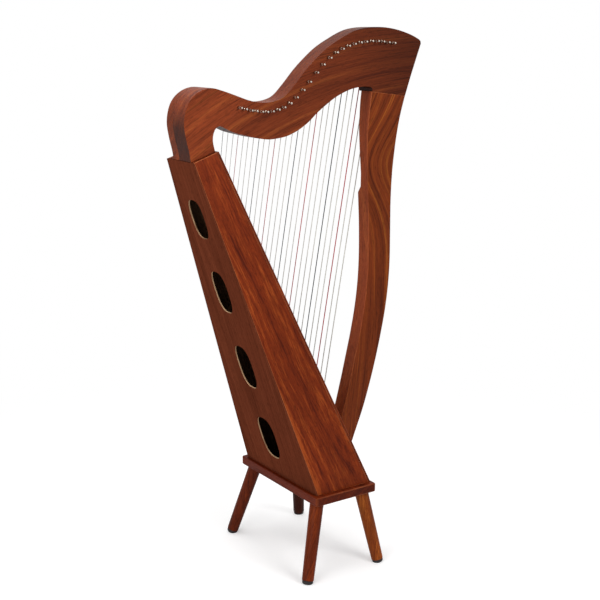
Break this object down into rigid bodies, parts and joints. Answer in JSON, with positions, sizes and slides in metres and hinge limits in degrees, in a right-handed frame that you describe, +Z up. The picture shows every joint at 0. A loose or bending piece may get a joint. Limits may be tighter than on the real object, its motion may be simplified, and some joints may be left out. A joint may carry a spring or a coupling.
{
  "type": "floor harp",
  "caption": "Floor harp with a slanted tapered soundbox, a curved neck, a bowed pillar, turning tuning pins and a low stand on splayed legs.",
  "frame": {"origin": "on the floor, in the middle of the harp's length from shoulder to pillar and of the stand's width", "axes": "+Z up; +X from the player's shoulder towards the pillar; +Y towards the side of the neck that carries the strings"},
  "size_m": [0.6294, 0.3606, 1.2454],
  "materials": {
    "rosewood": "satin lacquer over reddish brown, dark-streaked rosewood",
    "dark_rosewood": "satin lacquer over darker, even rosewood",
    "inner_wood": "bare sawn softwood",
    "pin_metal": "bright nickel plate on steel",
    "bridge_metal": "bright nickel plate on steel",
    "tip_rubber": "matt moulded rubber",
    "string_natural": "clear pale nylon",
    "string_red": "red nylon",
    "string_black": "black nylon"
  },
  "bodies": {
    "frame": {"soundboard": "rosewood", "back_panel": "dark_rosewood", "side_panel_right": "rosewood", "side_panel_left": "rosewood", "top_block": "inner_wood", "pillar_block": "inner_wood", "back_rail": "inner_wood", "board_lining_right": "inner_wood", "back_lining_right": "inner_wood", "board_lining_left": "inner_wood", "back_lining_left": "inner_wood", "back_brace_1": "inner_wood", "back_brace_2": "inner_wood", "back_brace_3": "inner_wood", "outer_string_rib": "dark_rosewood", "inner_string_rib": "inner_wood", "base_plate": "rosewood", "leg_back_right": "rosewood", "leg_tip_back_right": "tip_rubber", "leg_back_left": "rosewood", "leg_tip_back_left": "tip_rubber", "leg_front_right": "rosewood", "leg_tip_front_right": "tip_rubber", "leg_front_left": "rosewood", "leg_tip_front_left": "tip_rubber", "pillar": "rosewood", "shoulder_block": "rosewood", "neck": "rosewood", "bridge_pins": "bridge_metal", "strings_natural": "string_natural", "strings_red": "string_red", "strings_black": "string_black"},
    "tuning_pin_01": {"tuning_pin_01": "pin_metal"},
    "tuning_pin_02": {"tuning_pin_02": "pin_metal"},
    "tuning_pin_03": {"tuning_pin_03": "pin_metal"},
    "tuning_pin_04": {"tuning_pin_04": "pin_metal"},
    "tuning_pin_05": {"tuning_pin_05": "pin_metal"},
    "tuning_pin_06": {"tuning_pin_06": "pin_metal"},
    "tuning_pin_07": {"tuning_pin_07": "pin_metal"},
    "tuning_pin_08": {"tuning_pin_08": "pin_metal"},
    "tuning_pin_09": {"tuning_pin_09": "pin_metal"},
    "tuning_pin_10": {"tuning_pin_10": "pin_metal"},
    "tuning_pin_11": {"tuning_pin_11": "pin_metal"},
    "tuning_pin_12": {"tuning_pin_12": "pin_metal"},
    "tuning_pin_13": {"tuning_pin_13": "pin_metal"},
    "tuning_pin_14": {"tuning_pin_14": "pin_metal"},
    "tuning_pin_15": {"tuning_pin_15": "pin_metal"},
    "tuning_pin_16": {"tuning_pin_16": "pin_metal"},
    "tuning_pin_17": {"tuning_pin_17": "pin_metal"},
    "tuning_pin_18": {"tuning_pin_18": "pin_metal"},
    "tuning_pin_19": {"tuning_pin_19": "pin_metal"},
    "tuning_pin_20": {"tuning_pin_20": "pin_metal"},
    "tuning_pin_21": {"tuning_pin_21": "pin_metal"},
    "tuning_pin_22": {"tuning_pin_22": "pin_metal"},
    "tuning_pin_23": {"tuning_pin_23": "pin_metal"},
    "tuning_pin_24": {"tuning_pin_24": "pin_metal"},
    "tuning_pin_25": {"tuning_pin_25": "pin_metal"},
    "tuning_pin_26": {"tuning_pin_26": "pin_metal"},
    "tuning_pin_27": {"tuning_pin_27": "pin_metal"}
  },
  "joints": [
    {"name": "turn_pin_01", "type": "hinge", "parent": "frame", "child": "tuning_pin_01", "pos_m": [-0.1831, 0, 1.0772], "axis": [0, 1, 0], "range_deg": [-1170, 120]},
    {"name": "turn_pin_02", "type": "hinge", "parent": "frame", "child": "tuning_pin_02", "pos_m": [-0.1707, 0, 1.0741], "axis": [0, 1, 0], "range_deg": [-1170, 120]},
    {"name": "turn_pin_03", "type": "hinge", "parent": "frame", "child": "tuning_pin_03", "pos_m": [-0.1569, 0, 1.071], "axis": [0, 1, 0], "range_deg": [-1170, 120]},
    {"name": "turn_pin_04", "type": "hinge", "parent": "frame", "child": "tuning_pin_04", "pos_m": [-0.1442, 0, 1.0692], "axis": [0, 1, 0], "range_deg": [-1170, 120]},
    {"name": "turn_pin_05", "type": "hinge", "parent": "frame", "child": "tuning_pin_05", "pos_m": [-0.1301, 0, 1.0676], "axis": [0, 1, 0], "range_deg": [-1170, 120]},
    {"name": "turn_pin_06", "type": "hinge", "parent": "frame", "child": "tuning_pin_06", "pos_m": [-0.1173, 0, 1.0665], "axis": [0, 1, 0], "range_deg": [-1170, 120]},
    {"name": "turn_pin_07", "type": "hinge", "parent": "frame", "child": "tuning_pin_07", "pos_m": [-0.1032, 0, 1.0676], "axis": [0, 1, 0], "range_deg": [-1170, 120]},
    {"name": "turn_pin_08", "type": "hinge", "parent": "frame", "child": "tuning_pin_08", "pos_m": [-0.088, 0, 1.0702], "axis": [0, 1, 0], "range_deg": [-1170, 120]},
    {"name": "turn_pin_09", "type": "hinge", "parent": "frame", "child": "tuning_pin_09", "pos_m": [-0.0733, 0, 1.075], "axis": [0, 1, 0], "range_deg": [-1170, 120]},
    {"name": "turn_pin_10", "type": "hinge", "parent": "frame", "child": "tuning_pin_10", "pos_m": [-0.0572, 0, 1.0829], "axis": [0, 1, 0], "range_deg": [-1170, 120]},
    {"name": "turn_pin_11", "type": "hinge", "parent": "frame", "child": "tuning_pin_11", "pos_m": [-0.0407, 0, 1.0952], "axis": [0, 1, 0], "range_deg": [-1170, 120]},
    {"name": "turn_pin_12", "type": "hinge", "parent": "frame", "child": "tuning_pin_12", "pos_m": [-0.0234, 0, 1.1107], "axis": [0, 1, 0], "range_deg": [-1170, 120]},
    {"name": "turn_pin_13", "type": "hinge", "parent": "frame", "child": "tuning_pin_13", "pos_m": [-0.006, 0, 1.1278], "axis": [0, 1, 0], "range_deg": [-1170, 120]},
    {"name": "turn_pin_14", "type": "hinge", "parent": "frame", "child": "tuning_pin_14", "pos_m": [0.0126, 0, 1.1474], "axis": [0, 1, 0], "range_deg": [-1170, 120]},
    {"name": "turn_pin_15", "type": "hinge", "parent": "frame", "child": "tuning_pin_15", "pos_m": [0.0302, 0, 1.1644], "axis": [0, 1, 0], "range_deg": [-1170, 120]},
    {"name": "turn_pin_16", "type": "hinge", "parent": "frame", "child": "tuning_pin_16", "pos_m": [0.0483, 0, 1.1788], "axis": [0, 1, 0], "range_deg": [-1170, 120]},
    {"name": "turn_pin_17", "type": "hinge", "parent": "frame", "child": "tuning_pin_17", "pos_m": [0.0656, 0, 1.1899], "axis": [0, 1, 0], "range_deg": [-1170, 120]},
    {"name": "turn_pin_18", "type": "hinge", "parent": "frame", "child": "tuning_pin_18", "pos_m": [0.0817, 0, 1.1981], "axis": [0, 1, 0], "range_deg": [-1170, 120]},
    {"name": "turn_pin_19", "type": "hinge", "parent": "frame", "child": "tuning_pin_19", "pos_m": [0.0986, 0, 1.2041], "axis": [0, 1, 0], "range_deg": [-1170, 120]},
    {"name": "turn_pin_20", "type": "hinge", "parent": "frame", "child": "tuning_pin_20", "pos_m": [0.1148, 0, 1.2085], "axis": [0, 1, 0], "range_deg": [-1170, 120]},
    {"name": "turn_pin_21", "type": "hinge", "parent": "frame", "child": "tuning_pin_21", "pos_m": [0.1313, 0, 1.2113], "axis": [0, 1, 0], "range_deg": [-1170, 120]},
    {"name": "turn_pin_22", "type": "hinge", "parent": "frame", "child": "tuning_pin_22", "pos_m": [0.1466, 0, 1.2131], "axis": [0, 1, 0], "range_deg": [-1170, 120]},
    {"name": "turn_pin_23", "type": "hinge", "parent": "frame", "child": "tuning_pin_23", "pos_m": [0.1633, 0, 1.2143], "axis": [0, 1, 0], "range_deg": [-1170, 120]},
    {"name": "turn_pin_24", "type": "hinge", "parent": "frame", "child": "tuning_pin_24", "pos_m": [0.18, 0, 1.2144], "axis": [0, 1, 0], "range_deg": [-1170, 120]},
    {"name": "turn_pin_25", "type": "hinge", "parent": "frame", "child": "tuning_pin_25", "pos_m": [0.1954, 0, 1.2132], "axis": [0, 1, 0], "range_deg": [-1170, 120]},
    {"name": "turn_pin_26", "type": "hinge", "parent": "frame", "child": "tuning_pin_26", "pos_m": [0.2108, 0, 1.2118], "axis": [0, 1, 0], "range_deg": [-1170, 120]},
    {"name": "turn_pin_27", "type": "hinge", "parent": "frame", "child": "tuning_pin_27", "pos_m": [0.2274, 0, 1.2101], "axis": [0, 1, 0], "range_deg": [-1170, 120]}
  ]
}
